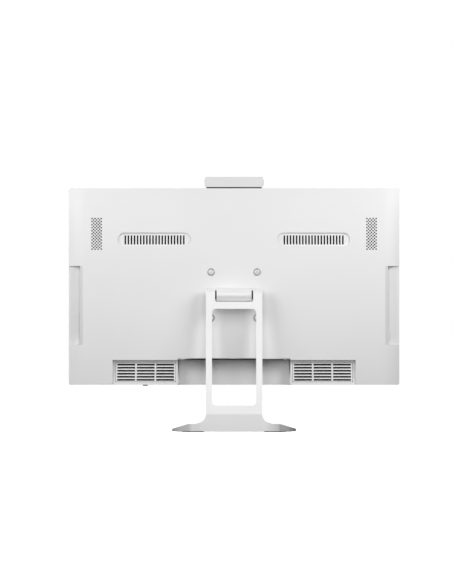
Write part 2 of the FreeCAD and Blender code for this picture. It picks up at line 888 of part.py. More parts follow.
def board_and_posts():
    board = block("board")
    holes = []
    for i, (x, z) in enumerate(BOARD_HOLES):
        holes.append(deep_cylinder(f"board_hole_{i}", str(x), "front_y", str(z), "1.6", "30"))
    part("motherboard", boolean("Cut", "motherboard", board, *holes))
    posts = []
    for i, (x, z) in enumerate(BOARD_HOLES):
        reach = "board_depth - chassis_depth - chassis_thick"
        foot = "front_y + chassis_depth + chassis_thick"
        posts.append(deep_cylinder(f"board_post_{i}", str(x), foot, str(z), "2.6", reach))
    part("board_posts", compound("board_posts", *posts))


def cooling():
    part("processor", block("processor"))
    cooler = block("cooler", "cooler_block")
    radius = "pipe_radius"
    depth = "front_y + pipe_depth"
    groove = primitive(
        "Cylinder",
        "pipe_groove",
        ("cooler_middle", depth, "cooler_base - 1"),
        Radius="pipe_radius + 0.05",
        Height="cooler_height + 2",
    )
    open_side = middle_box(
        "pipe_groove_mouth",
        "cooler_middle",
        depth,
        "cooler_base - 1",
        "pipe_radius * 2 + 0.1",
        "5",
        "cooler_height + 2",
    )
    part("cold_plate", boolean("Cut", "cold_plate", cooler, groove, open_side))

    # the pipe climbs from the cold plate, steps sideways past the blower and runs through the fins
    x0, x1, x2 = size("cooler_middle"), -98, size("blower_x") - 34
    z0, z1, z2 = size("cooler_base") + 1, 214, size("blower_z") + 49
    y = size(depth)
    bend = 14
    points = [
        VECTOR(x0, y, z0), VECTOR(x0, y, 184), VECTOR(x1, y, z1 + 10), VECTOR(x1, y, z2), VECTOR(x2, y, z2)
    ]
    path = bent_path(points, bend)
    circle = Part.Wire(Part.makeCircle(size(radius), points[0], Z_AXIS))
    pipe = path.makePipeShell([circle], True, False)
    part("heat_pipe", shaped("heat_pipe", pipe))

    fins = []
    count = round(size("fin_count"))
    for i in range(count):
        x = f"blower_x + {i - (count - 1) / 2} * fin_pitch - 0.2"
        at = (x, "front_y + blower_front + 1", "blower_z + blower_side / 2 + 1.5")
        fin = box(f"fin_{i}", at, "0.4", "blower_thick - 2.4", "17")
        hole = cross_cylinder(f"fin_hole_{i}", f"{x} - 1", depth, str(z2), "pipe_radius + 0.02", "3")
        fins.append(boolean("Cut", f"fin_cut_{i}", fin, hole))
    part("cooling_fins", compound("cooling_fins", *fins))
    blower()


def bent_path(points, bend):
    """Straight runs through the points with rounded corners."""
    edges = []
    start = points[0]
    for before, here, after in zip(points, points[1:], points[2:]):
        into, out = (here - before).normalize(), (after - here).normalize()
        half = into.getAngle(out) / 2
        reach = bend * math.tan(half)
        near, far = here - into * reach, here + out * reach
        middle = here + (out - into).normalize() * (bend / math.cos(half) - bend)
        edges.append(Part.makeLine(start, near))
        edges.append(Part.Arc(near, middle, far).toShape())
        start = far
    edges.append(Part.makeLine(start, points[-1]))
    return Part.Wire(edges)


def blower():
    wall = "blower_wall"
    at = ("blower_x", "front_y + blower_front", "blower_z - blower_side / 2")
    case = middle_box("blower_case", *at, "blower_side", "blower_thick", "blower_side")
    case = rounded(
        "blower_corners",
        case,
        "16",
        lambda edge: along(edge, Y_AXIS) and edge.CenterOfMass.z < size("blower_z"),
    )
    y = "front_y + blower_front"
    room = deep_cylinder(
        "blower_room",
        "blower_x",
        f"{y} + {wall}",
        "blower_z",
        "rotor_radius + 4",
        f"blower_thick - 2 * {wall}",
    )
    outlet = middle_box(
        "blower_outlet",
        "blower_x",
        f"{y} + {wall}",
        "blower_z",
        "(rotor_radius + 4) * 2",
        f"blower_thick - 2 * {wall}",
        "60",
    )
    intake = deep_cylinder(
        "blower_intake", "blower_x", f"{y} + blower_thick - {wall} - 1", "blower_z", "rotor_radius - 6", "5"
    )
    bottom = deep_cylinder(
        "blower_vent", "blower_x", f"{y} - 1", "blower_z", "rotor_radius - 8", f"{wall} + 2"
    )
    shell = boolean("Cut", "blower_shell", case, room, outlet, intake, bottom)
    spokes = []
    for i in range(3):
        spoke = box(f"blower_spoke_{i}", ("0", "0", "-1.5"), "rotor_radius - 5", wall, "3")
        spoke.Placement = FreeCAD.Placement(VECTOR(0, 0, 0), FreeCAD.Rotation(Y_AXIS, 120 * i + 30))
        spokes.append(place(spoke, "blower_x", y, "blower_z"))
    seat = deep_cylinder("blower_seat", "blower_x", y, "blower_z", "6", wall)
    pin = deep_cylinder("blower_pin", "blower_x", f"{y} + {wall} - 0.2", "blower_z", "1.5", "6")
    shell = boolean("Fuse", "blower_fused", shell, *spokes, seat, pin)
    part("blower_housing", shell)

    low = f"{y} + {wall} + 0.5"
    tall = f"blower_thick - 2 * {wall} - 1.2"
    hub = deep_cylinder("rotor_hub", "blower_x", low, "blower_z", "hub_radius", tall)
    blades = []
    count = round(size("blade_count"))
    for i in range(count):
        blade = box(
            f"rotor_blade_{i}", ("hub_radius - 1", "0", "-0.5"), "rotor_radius - hub_radius", tall, "1"
        )
        turned = compound(f"rotor_blade_turned_{i}", blade)
        turned.Placement = FreeCAD.Placement(VECTOR(0, 0, 0), FreeCAD.Rotation(Y_AXIS, 360 / count * i))
        blades.append(place(turned, "blower_x", low, "blower_z"))
    wheel = boolean("Fuse", "rotor_wheel", hub, *blades)
    bore = deep_cylinder("rotor_bore", "blower_x", f"{low} - 1", "blower_z", "1.5 + running_gap", "7")
    part("blower_rotor", boolean("Cut", "blower_rotor", wheel, bore))


def storage():
    slot_at = ("memory_module_middle", "front_y + memory_module_depth - 0.05", "memory_module_base - 0.1")
    slot = middle_box(
        "memory_slot", *slot_at, "memory_module_width + 0.2", "memory_module_thick + 0.1", "20"
    )
    part("memory_sockets", boolean("Cut", "memory_sockets", block("memory_socket"), slot))
    part("memory_module", memory_stick())
    part("solid_state_drive", block("solid_drive"))
    part("wireless_card", block("wireless"))
    part(
        "hard_drive",
        rounded("hard_drive_block", block("hard_drive"), "2", lambda edge: along(edge, Y_AXIS)),
    )
    at = ("hard_drive_middle", "front_y + chassis_depth + chassis_thick", "hard_drive_base - 2")
    tray = middle_box("caddy_base", *at, "hard_drive_width + 4", "1", "hard_drive_height + 4")
    sides = []
    for sign in (-1, 1):
        x = f"hard_drive_middle + {sign} * (hard_drive_width / 2 + 1.3)"
        sides.append(
            middle_box(f"caddy_side_{sign + 1}", x, at[1], at[2], "1.2", "7", "hard_drive_height + 4")
        )
    part("drive_caddy", boolean("Fuse", "drive_caddy", tray, *sides))


def memory_stick():
    stick = block("memory_module", "memory_stick")
    notch = middle_box(
        "memory_notch", "memory_module_middle + 6", "front_y", "memory_module_base - 1", "1.6", "40", "3"
    )
    return boolean("Cut", "memory_module_cut", stick, notch)


def loudspeakers():
    cases = []
    for side, sign in (("left", 1), ("right", -1)):
        at = (f"{sign} * 221", "front_y + chassis_depth + chassis_thick", "290")
        case = middle_box(f"speaker_case_{side}", *at, "36", "8.6", "66")
        case = rounded(f"speaker_round_{side}", case, "4", lambda edge: along(edge, Y_AXIS))
        cone = primitive(
            "Cone",
            f"speaker_cone_{side}",
            (f"{sign} * 221", "front_y + 19.1", "speaker_z"),
            Radius1="15",
            Radius2="8",
            Height="3.4",
        )
        cone.Placement.Rotation = FreeCAD.Rotation(X_AXIS, 90)
        place(cone, f"{sign} * 221", "front_y + 19.1", "speaker_z")
        cases.append(boolean("Cut", f"speaker_cut_{side}", case, cone))
    part("loudspeakers", compound("loudspeakers", *cases))


def socket(name):
    """A metal shell open below with a tongue in it."""
    shell = block(name, name + "_shell")
    wall = "0.5"
    x, y, z = f"{name}_middle", f"front_y + {name}_depth + {wall}", f"{name}_base - 1"
    room = middle_box(
        name + "_room",
        x,
        y,
        z,
        f"{name}_width - 2 * {wall}",
        f"{name}_thick - 2 * {wall}",
        f"{name}_height - 1",
    )
    tongue = middle_box(
        name + "_tongue",
        x,
        f"{y} + {name}_thick * 0.2",
        f"{name}_base + 1.2",
        f"{name}_width - 4",
        "1.6",
        f"{name}_height - 3",
    )
    return boolean("Fuse", name + "_done", boolean("Cut", name + "_hollow", shell, room), tongue)


def rear_ports():
    inlet = block("inlet", "inlet_block")
    y = "front_y + inlet_depth + inlet_thick / 2"
    bore = primitive(
        "Cylinder", "inlet_bore", ("inlet_middle", y, "inlet_base - 1"), Radius="3.2", Height="11"
    )
    pin = primitive(
        "Cylinder", "inlet_pin", ("inlet_middle", y, "inlet_base + 1"), Radius="0.8", Height="10"
    )
    part("power_inlet", boolean("Fuse", "power_inlet", boolean("Cut", "inlet_hollow", inlet, bore), pin))
    part("display_port_socket", socket("display_port"))

    shell = block("network", "network_block")
    room = middle_box(
        "network_room",
        "network_middle",
        "front_y + network_depth + 2.5",
        "network_base - 1",
        "11.8",
        "8.4",
        "15",
    )
    part("network_socket", boolean("Cut", "network_socket", shell, room))

    usb = socket("rear_usb")
    row = [usb]
    for i in range(1, 4):
        copy = compound(f"rear_usb_copy_{i}", usb)
        row.append(place(copy, f"{16 * i}", "0", "0"))
    part("rear_usb_sockets", compound("rear_usb_sockets", *row))

    gap = "fit_gap"
    at = (f"-port_slot_half + {gap}", f"front_y + port_slot_front + {gap}", "bay_top + 0.2")
    strip = box(
        "port_strip_plate",
        at,
        f"(port_slot_half - {gap}) * 2",
        f"port_slot_back - port_slot_front - 2 * {gap}",
        "1.8",
    )
    ways = []
    shifts = {"inlet": (0,), "display_port": (0,), "network": (0,), "rear_usb": (0, 16, 32, 48)}
    for name, moves in shifts.items():
        for move in moves:
            x = f"{name}_middle + {move}"
            at = (x, f"front_y + {name}_depth - 0.1", "bay_top - 1")
            ways.append(
                middle_box(f"way_{name}_{move}", *at, f"{name}_width + 0.2", f"{name}_thick + 0.2", "5")
            )
    part("port_strip", boolean("Cut", "port_strip", strip, *ways))


def side_ports():
    inner = "notch_x - notch_wall"
    shells = []
    for i, z in enumerate(SIDE_USB):
        at = (f"{inner} - 12", "front_y + 12.5", f"{z} + 0.1")
        shell = box(f"side_usb_{i}", at, "13", "5", "13")
        room = box(f"side_usb_room_{i}", (f"{inner} - 11", "front_y + 13", f"{z} + 0.6"), "13", "4", "12")
        tongue = box(
            f"side_usb_tongue_{i}", (f"{inner} - 11.5", "front_y + 14.6", f"{z} + 1.6"), "11", "1.2", "10"
        )
        shells.append(
            boolean("Fuse", f"side_usb_done_{i}", boolean("Cut", f"side_usb_cut_{i}", shell, room), tongue)
        )

    at = (f"{inner} - 8", "front_y + 13.1", "206.1")
    shell = box("side_c_block", at, "9", "3.2", "9")
    shell = rounded("side_c_round", shell, "1.4", lambda edge: along(edge, X_AXIS))
    room = box("side_c_room", (f"{inner} - 7", "front_y + 13.5", "206.6"), "9", "2.4", "8")
    tongue = box("side_c_tongue", (f"{inner} - 7.5", "front_y + 14.3", "207.6"), "7", "0.7", "6")
    shells.append(boolean("Fuse", "side_c_done", boolean("Cut", "side_c_cut", shell, room), tongue))
    part("side_usb_sockets", compound("side_usb_sockets", *shells))

    depth = "front_y + jack_depth"
    body = cross_cylinder("jack_nose", f"{inner} - 2", depth, "jack_z", "2.9", "3")
    barrel = box("jack_block", (f"{inner} - 13", f"{depth} - 3", "jack_z - 3"), "12.9", "6", "6")
    bore = cross_cylinder("jack_bore", f"{inner} - 12", depth, "jack_z", "jack_radius", "14")
    part("audio_jack", boolean("Cut", "audio_jack", boolean("Fuse", "jack_solid", body, barrel), bore))

    at = (f"{inner} - 20", "front_y + notch_floor + 0.1", "150")
    part("side_port_board", box("side_port_board", at, "19.8", "1.2", "108"))

    collar = box("lock_collar_block", ("-notch_x - 2.3", "front_y + 13.1", "151.1"), "6", "4.2", "13.4")
    collar = rounded("lock_collar_round", collar, "1.2", lambda edge: along(edge, X_AXIS))
    slot = box("lock_slot", ("-notch_x - 3", "front_y + 14.1", "154.5"), "5", "2.2", "6.6")
    part("lock_collar", boolean("Cut", "lock_collar", collar, slot))


# ---------------------------------------------------------------- hinge and mount


def hinge():
    """The fixed sleeve on the display, its arm and the plate that carries them."""
    sleeve = cross_cylinder(
        "sleeve", "-barrel_length / 2", HINGE_Y, "hinge_z", "barrel_radius", "barrel_length"
    )
    sleeve = rounded("sleeve_ends", sleeve, "0.8", circular)
    bore = cross_cylinder("sleeve_bore", "-40", HINGE_Y, "hinge_z", "shaft_radius + running_gap", "80")
    part("hinge_barrel", boolean("Cut", "hinge_barrel", sleeve, bore))

    arm = middle_box("arm", "0", "front_y + 30.2", "hinge_z - 8", "46", "hinge_depth - 30.2", "16")
    room = cross_cylinder("arm_room", "-40", HINGE_Y, "hinge_z", "barrel_radius", "80")
    pad = middle_box("arm_pad", "0", "front_y + 28.2", "hinge_z - 16", "86", "2", "32")
    bracket = boolean("Fuse", "bracket_solid", arm, pad)
    part("hinge_bracket", boolean("Cut", "hinge_bracket", bracket, room))

    low, high = "(vesa_z - 45)", "(vesa_z + 45)"
    corners = round_rectangle("-54", low, "54", high, "6")
    plate = upright("mount_form", corners, "26", "2")
    holes = []
    for i, (x, z, _) in enumerate(vesa_spots()):
        holes.append(
            deep_cylinder(f"mount_screw_hole_{i}", x, "front_y", z, "vesa_thread_radius + 0.05", "60")
        )
    part("mount_plate", boolean("Cut", "mount_plate", plate, *holes))

    posts = []
    for i, (x, z) in enumerate(MOUNT_HOLES):
        start = "front_y + chassis_depth + chassis_thick"
        posts.append(
            deep_cylinder(
                f"mount_post_{i}", str(x), start, str(z), "3.5", "26 - chassis_depth - chassis_thick"
            ),
        )
    part("mount_posts", compound("mount_posts", *posts))

    rivets = []
    for i, x in enumerate((-34, -28, 28, 34)):
        head = deep_cylinder(
            f"rivet_{i}", str(x), "front_y + 30.2", f"hinge_z + {6 if i in (1, 2) else -6}", "2", "1.4"
        )
        rivets.append(head)
    part("bracket_rivets", compound("bracket_rivets", *rivets))


def vesa_screws():
    screws = []
    for i, (x, z, depth) in enumerate(vesa_spots()):
        y = f"front_y + {depth}"
        head = deep_cylinder(f"screw_head_{i}", x, y, z, "vesa_head_radius", "vesa_head_height")
        top = size(y) + 1
        head = rounded(
            f"screw_round_{i}", head, "1.2", lambda edge: circular(edge) and edge.CenterOfMass.y > top
        )
        arms = []
        for j in range(2):
            wide, high = ("4.4", "0.9") if j else ("0.9", "4.4")
            at = (x, f"{y} + vesa_head_height - 1.3", f"{z} - {high} / 2")
            arms.append(middle_box(f"screw_cross_{i}_{j}", *at, wide, "3", high))
        head = boolean("Cut", f"screw_cut_{i}", head, *arms)
        stem = deep_cylinder(
            f"screw_stem_{i}", x, f"{y} - vesa_thread_length", z, "vesa_thread_radius", "vesa_thread_length"
        )
        screws.append(boolean("Fuse", f"screw_{i}", head, stem))
    part("vesa_screws", compound("vesa_screws", *screws))


# ---------------------------------------------------------------- camera


def camera():
    low = f"({PANEL_TOP} + pod_gap)"
    high = f"({low} + pod_height)"
    bulge = "((pod_height ^ 2 / 4 + pod_bulge ^ 2) / 2 / pod_bulge)"
    corners = [
        ("-pod_half", low),
        ("pod_half", low, bulge),
        ("pod_half", high),
        ("-pod_half", high, bulge),
    ]
    shell = upright("pod_form", corners, "pod_front", "pod_thick")
    ends = [size("front_y + pod_front"), size("front_y + pod_front + pod_thick")]
    shell = rounded(
        "pod_rounded", shell, "1", lambda edge: min(abs(edge.CenterOfMass.y - end) for end in ends) < 0.01
    )
    pocket = round_rectangle("-pod_half + 3", f"{low} + 3", "pod_half - 3", f"{high} - 3", "5")
    window_cut = upright("pod_window_cut", pocket, "pod_front - 1", "2")
    eye = deep_cylinder("pod_eye", "0", "front_y + pod_front", f"{low} + pod_height / 2", "4", "5")
    socket_cut = middle_box(
        "pod_socket", "0", "front_y + stem_front", f"{low} - 1", "stem_half * 2 - 6", "stem_thick", "4"
    )
    part("camera_pod", boolean("Cut", "camera_pod", shell, window_cut, eye, socket_cut))

    gap = "0.1"
    inner = round_rectangle(
        f"-pod_half + 3 + {gap}",
        f"{low} + 3 + {gap}",
        f"pod_half - 3 - {gap}",
        f"{high} - 3 - {gap}",
        f"5 - {gap}",
    )
    part("camera_window", upright("camera_window", inner, "pod_front + 0.1", "0.8"))
    lens = deep_cylinder(
        "lens_barrel", "0", "front_y + pod_front + 1.05", f"{low} + pod_height / 2", "3.9", "3.8"
    )
    part("camera_lens", rounded("camera_lens", lens, "0.5", circular))

    height = f"{low} - stem_bottom"
    stem = middle_box(
        "stem_form", "0", "front_y + stem_front", "stem_bottom", "stem_half * 2", "stem_thick", height
    )
    tab = middle_box(
        "stem_tab", "0", "front_y + stem_front", low, "stem_half * 2 - 6.4", "stem_thick", "2.8"
    )
    slots = []
    for sign in (-1, 1):
        x = f"{sign} * 22"
        slots.append(middle_box(f"stem_slot_{sign + 1}", x, "front_y", "stem_bottom + 6", "14", "40", "20"))
    part("camera_stem", boolean("Cut", "camera_stem", boolean("Fuse", "stem_solid", stem, tab), *slots))

    # the guide fixed in the casing: a floor bar and two grooved rails
    width = "(stem_half + 4.5) * 2"
    y, depth = "front_y + stem_front - 1.5", "stem_thick + 3"
    floor = middle_box("guide_floor", "0", y, "guide_base", width, depth, "guide_bar")
    rails = []
    for sign in (-1, 1):
        x = f"{sign} * (stem_half + 2.5)"
        rails.append(middle_box(f"guide_rail_{sign + 1}", x, y, "guide_base", "4", depth, "46"))
    groove = middle_box(
        "guide_groove",
        "0",
        "front_y + stem_front - 0.3",
        "guide_base + guide_bar",
        "stem_half * 2 + 0.8",
        "stem_thick + 0.6",
        "60",
    )
    part(
        "camera_guide",
        boolean("Cut", "camera_guide", boolean("Fuse", "guide_solid", floor, *rails), groove),
    )

    springs = []
    rest = "stem_bottom - guide_base - guide_bar"
    for sign in (-1, 1):
        x, y = f"{sign} * spring_x", "front_y + stem_front + stem_thick / 2"
        z = "guide_base + guide_bar + spring_wire + 0.05"
        coil = f"({rest} - 2 * spring_wire - 0.1)"
        helix = primitive(
            "Helix",
            f"coil_{sign + 1}",
            (x, y, z),
            Radius="spring_radius",
            Height=coil,
            Pitch=f"{coil} / spring_turns",
        )
        doc.recompute()
        start = helix.Shape.Vertexes[0].Point
        circle = Part.Wire(Part.makeCircle(size("spring_wire"), start, Y_AXIS))
        springs.append(
            shaped(f"spring_{sign + 1}", Part.Wire(helix.Shape.Edges).makePipeShell([circle], True, True))
        )
    part("camera_springs", compound("camera_springs", *springs))


def power_button():
    x, y = "button_x", "front_y + button_depth"
    stub = middle_box(
        "button_stub",
        x,
        y,
        "panel_base - button_stand",
        "button_width",
        "button_thick",
        "button_stand + rim + 0.5",
    )
    stub = rounded(
        "button_round",
        stub,
        "0.5",
        lambda edge: edge.CenterOfMass.z < size("panel_base - button_stand + 0.1"),
    )
    wide = "button_width + 2.4"
    flange = middle_box(
        "button_flange", x, y, "panel_base + rim + 0.2", wide, "button_thick", "button_flange"
    )
    part("power_button", boolean("Fuse", "power_button", stub, flange))
    z = "panel_base + rim + button_flange + button_travel + 0.4"
    switch = middle_box("switch_body", x, "front_y + button_depth + 0.2", z, "6", "3.6", "2")
    board = middle_box("switch_board", x, "front_y + button_depth - 0.8", f"{z} + 2", "24", "5", "1")
    part("button_board", boolean("Fuse", "button_board", switch, board))


# ---------------------------------------------------------------- stand


def neck():
    # the back of the plate runs on into the back of the ears
    back = f"({FOOT_BACK} - (hinge_z - bend_z) * tan(neck_lean))"
    thick = "(neck_thick / cos(neck_lean))"
    meet = "(hinge_z + ear_radius * sin(neck_lean))"
    meet_y = f"({HINGE_Y} + ear_radius * cos(neck_lean))"
    side = [
        (f"{FOOT_BACK} - {thick}", "bend_z"),
        (FOOT_BACK, "bend_z"),
        (meet_y, meet),
        (f"{back} - {thick}", "hinge_z"),
    ]
    plate = prism("neck_plate", "YZ_Plane", side, "neck_width", middle=True)
    ears = []
    for sign in (-1, 1):
        x = "ear_gap / 2" if sign > 0 else "-neck_width / 2"
        length = "(neck_width - ear_gap) / 2"
        ear = cross_cylinder(f"ear_{sign + 1}", x, HINGE_Y, "hinge_z", "ear_radius", length)
        ears.append(rounded(f"ear_round_{sign + 1}", ear, "0.8", circular))
    solid = boolean("Fuse", "neck_solid", plate, *ears)
    leg = "(neck_width / 2 - neck_leg)"
    window = round_rectangle(f"-{leg}", "window_low", leg, "window_high", "window_radius")
    opening = prism("neck_window", "XZ_Plane", window, "200", "-200")
    fork = middle_box("neck_fork", "0", "0", "ear_low", "ear_gap", "150", "40")
    fork = rounded(
        "neck_fork_round",
        fork,
        "3",
        lambda edge: along(edge, Y_AXIS) and edge.CenterOfMass.z < size("ear_low") + 1,
    )
    bore = cross_cylinder(
        "ear_bore", "-shaft_length / 2", HINGE_Y, "hinge_z", "shaft_radius", "shaft_length"
    )
    part("neck", boolean("Cut", "neck", solid, opening, fork, bore))

    part(
        "hinge_shaft",
        cross_cylinder(
            "hinge_shaft", "-shaft_length / 2", HINGE_Y, "hinge_z", "shaft_radius", "shaft_length"
        ),
    )
    rings = []
    for sign in (-1, 1):
        thick = "(ear_gap / 2 - barrel_length / 2 - 0.2)"
        x = "barrel_length / 2 + 0.15" if sign > 0 else f"-barrel_length / 2 - 0.15 - {thick}"
        ring = cross_cylinder(f"washer_{sign + 1}", x, HINGE_Y, "hinge_z", "7", thick)
        hole = cross_cylinder(
            f"washer_hole_{sign + 1}", f"{x} - 1", HINGE_Y, "hinge_z", "shaft_radius", "5"
        )
        rings.append(boolean("Cut", f"washer_cut_{sign + 1}", ring, hole))
    part("friction_washers", compound("friction_washers", *rings))


def foot_plan():
    """The wishbone seen from above: a back wall turning into two splayed arms."""
    turn_x, turn_y = "cos(foot_splay)", "sin(foot_splay)"
    out_x = f"(foot_straight + foot_bend * {turn_x})"
    out_y = f"({FOOT_BACK} - foot_bend + foot_bend * {turn_y})"
    tip_x = f"({out_x} + ({out_y} + {FOOT_BACK}) * tan(foot_splay))"
    in_x = f"({out_x} - arm_back_width * {turn_x})"
    in_y = f"({out_y} - arm_back_width * {turn_y})"
    tip_in = f"({tip_x} - arm_tip_width)"
    inner_y = f"({FOOT_BACK} - foot_wall)"
    inner_x = f"({in_x} - 13.5)"
    bend_in = "-14"
    return [
        ("-foot_straight", FOOT_BACK),
        (f"-{out_x}", out_y),
        (f"-{tip_x}", f"-{FOOT_BACK}"),
        (f"-{tip_in}", f"-{FOOT_BACK}"),
        (f"-{in_x}", in_y, f"{bend_in}"),
        (f"-{inner_x}", inner_y),
        (inner_x, inner_y, f"{bend_in}"),
        (in_x, in_y),
        (tip_in, f"-{FOOT_BACK}"),
        (tip_x, f"-{FOOT_BACK}"),
        (out_x, out_y, "foot_bend"),
        ("foot_straight", FOOT_BACK),
    ]


def foot():
    corners = foot_plan()
    corners[0] = (*corners[0], "foot_bend")
    plan = prism("foot_form", "XY_Plane", corners, "60")
    lift = "foot_lift"
    back = FOOT_BACK
    arms = [
        (f"-{back} - 1", lift),
        (f"{back} + 1", lift),
        (f"{back} + 1", "arm_back_height"),
        (f"{back} - foot_bend", "arm_back_height - 0.4"),
        (f"-{back} - 1", "arm_tip_height"),
    ]
    low = prism("foot_arms", "YZ_Plane", arms, "260", middle=True)
    shelf = "(arm_back_height - 1)"
    flare = "flare_radius"
    end = f"(flare_half + {flare})"
    wall = [
        (f"-{end}", shelf),
        (end, shelf),
        (end, "bend_z - flare_radius", f"-{flare}"),
        ("flare_half", "bend_z"),
        ("-flare_half", "bend_z", f"-{flare}"),
        (f"-{end}", "bend_z - flare_radius"),
    ]
    high = prism("foot_wall", "XZ_Plane", wall, "foot_wall + 1", f"-({back} + 1)")
    solid = boolean("Common", "foot_solid", plan, boolean("Fuse", "foot_height", low, high))
    seats, pads = [], []
    for sign in (-1, 1):
        x = "pad_inner" if sign > 0 else "-pad_outer"
        at = (x, "8", "-1")
        seats.append(box(f"rear_seat_{sign + 1}", at, "pad_outer - pad_inner", "120", "pad_thick + 1"))
        region = box(
            f"rear_pad_region_{sign + 1}", (at[0], at[1], "0"), "pad_outer - pad_inner", "120", "pad_thick"
        )
        pads.append(boolean("Common", f"rear_pad_{sign + 1}", plan, region))
    fronts = []
    for sign in (-1, 1):
        x = f"{sign} * 90.5"
        seat = middle_box(f"front_seat_{sign + 1}", x, "-86", "-1", "8.4", "44.4", "pad_thick + 1")
        pad = middle_box(f"front_pad_{sign + 1}", x, "-85.8", "0", "8", "44", "pad_thick")
        for thing in (seat, pad):
            thing.Placement.Rotation = FreeCAD.Rotation(Z_AXIS, size("foot_splay") * sign)
        place(seat, f"{x} - 4.2", "-86", "-1")
        place(pad, f"{x} - 4", "-85.8", "0")
        seats.append(seat)
        fronts.append(rounded(f"front_pad_round_{sign + 1}", pad, "3", lambda edge: along(edge, Z_AXIS)))
    part("foot", boolean("Cut", "foot", solid, *seats, *screw_ways("foot")))
    part("rear_pads", compound("rear_pads", *pads))
    part("front_pads", compound("front_pads", *fronts))


def screw_ways(name):
    """Clearance for the two screws that hold the neck to the foot."""
    y = f"{FOOT_BACK} - foot_wall / 2"
    ways = []
    for sign in (-1, 1):
        x = f"{sign} * 30"
        ways.append(
            primitive("Cylinder", f"{name}_way_{sign + 1}", (x, y, "-1"), Radius="1.6", Height="45")
        )
        ways.append(primitive("Cylinder", f"{name}_sink_{sign + 1}", (x, y, "-1"), Radius="3", Height="5"))
    return ways


def stand_screws():
    screws = []
    y = f"{FOOT_BACK} - foot_wall / 2"
    for sign in (-1, 1):
        x = f"{sign} * 30"
        head = primitive("Cylinder", f"stand_head_{sign + 1}", (x, y, "1.6"), Radius="2.8", Height="2.4")
        drive = primitive("Prism", f"stand_drive_{sign + 1}", (x, y, "0"), Circumradius="1.3", Height="3")
        stem = primitive(
            "Cylinder", f"stand_stem_{sign + 1}", (x, y, "4"), Radius="1.5", Height="bend_z - 4.1"
        )
        cut = boolean("Cut", f"stand_cut_{sign + 1}", head, drive)
        screws.append(boolean("Fuse", f"stand_screw_{sign + 1}", cut, stem))
    part("stand_screws", compound("stand_screws", *screws))


part("chassis_plate", chassis_plate())
board_and_posts()
cooling()
storage()
loudspeakers()
rear_ports()
side_ports()
hinge()
vesa_screws()
camera()
power_button()
neck()
foot()
stand_screws()


# ---------------------------------------------------------------- checks and export

doc.recompute()
for thing in doc.Objects:
    if "Invalid" in thing.State or "Error" in thing.State:
        raise RuntimeError(f"{thing.Name}: {thing.State}")
os.makedirs(OUT, exist_ok=True)
for label, thing in parts.items():
    shape = thing.Shape
    if shape.isNull() or not shape.isValid() or not shape.Solids:
        raise RuntimeError(f"{label}: bad shape")
    shape.exportStep(f"{OUT}/{label}.step")
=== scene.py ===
import json
import math
from typing import NamedTuple

import bmesh
import bpy
from mathutils import Matrix, Vector
from mathutils.kdtree import KDTree


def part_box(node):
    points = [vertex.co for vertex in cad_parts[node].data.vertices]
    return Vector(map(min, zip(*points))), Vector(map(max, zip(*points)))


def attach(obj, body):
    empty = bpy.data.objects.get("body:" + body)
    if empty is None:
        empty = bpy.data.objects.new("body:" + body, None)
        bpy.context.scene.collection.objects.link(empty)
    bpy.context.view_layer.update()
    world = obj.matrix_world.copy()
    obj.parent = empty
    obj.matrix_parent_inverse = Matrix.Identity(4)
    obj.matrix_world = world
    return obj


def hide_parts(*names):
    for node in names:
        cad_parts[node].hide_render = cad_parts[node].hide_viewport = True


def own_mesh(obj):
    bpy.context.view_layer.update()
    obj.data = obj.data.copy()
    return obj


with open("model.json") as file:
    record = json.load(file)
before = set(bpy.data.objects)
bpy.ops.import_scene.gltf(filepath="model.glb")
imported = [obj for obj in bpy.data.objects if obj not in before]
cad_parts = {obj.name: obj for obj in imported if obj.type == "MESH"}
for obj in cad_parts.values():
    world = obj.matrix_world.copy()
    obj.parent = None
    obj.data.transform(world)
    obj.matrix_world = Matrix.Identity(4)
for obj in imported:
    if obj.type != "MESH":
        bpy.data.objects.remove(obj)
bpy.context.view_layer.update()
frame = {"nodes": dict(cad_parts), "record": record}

MM = 0.001
WELD = 0.002 * MM  # corners nearer than this are one corner
FLAT = math.radians(0.4)  # faces that meet at less are one face
SHARP = math.radians(32)  # edges that turn by more are rounded over
CREASE = math.radians(38)  # edges that turn by more aren't shaded smooth
NODES = frame["nodes"]
RECORD = frame["record"]
BODY_OF = {node: body for body, nodes in RECORD["behaviour"]["bodies"].items() for node in nodes}
SLOT_OF = {row["node"]: row["material_slot"] for row in RECORD["subparts"]}


# ---------------------------------------------------------------- materials


class Finish(NamedTuple):
    """A look: each noise is given as its scale per metre and its strength."""

    color: tuple
    roughness: float
    cloud: tuple  # scale, share by which the colour varies
    worn: tuple = None  # scale, how far the roughness drifts
    grain: tuple = None  # scale, depth of the surface texture in metres
    stretch: tuple = None  # how many times finer the grain is along x, y and z
    metallic: float = 0.0
    specular: float = 0.5
    sockets: dict = {}


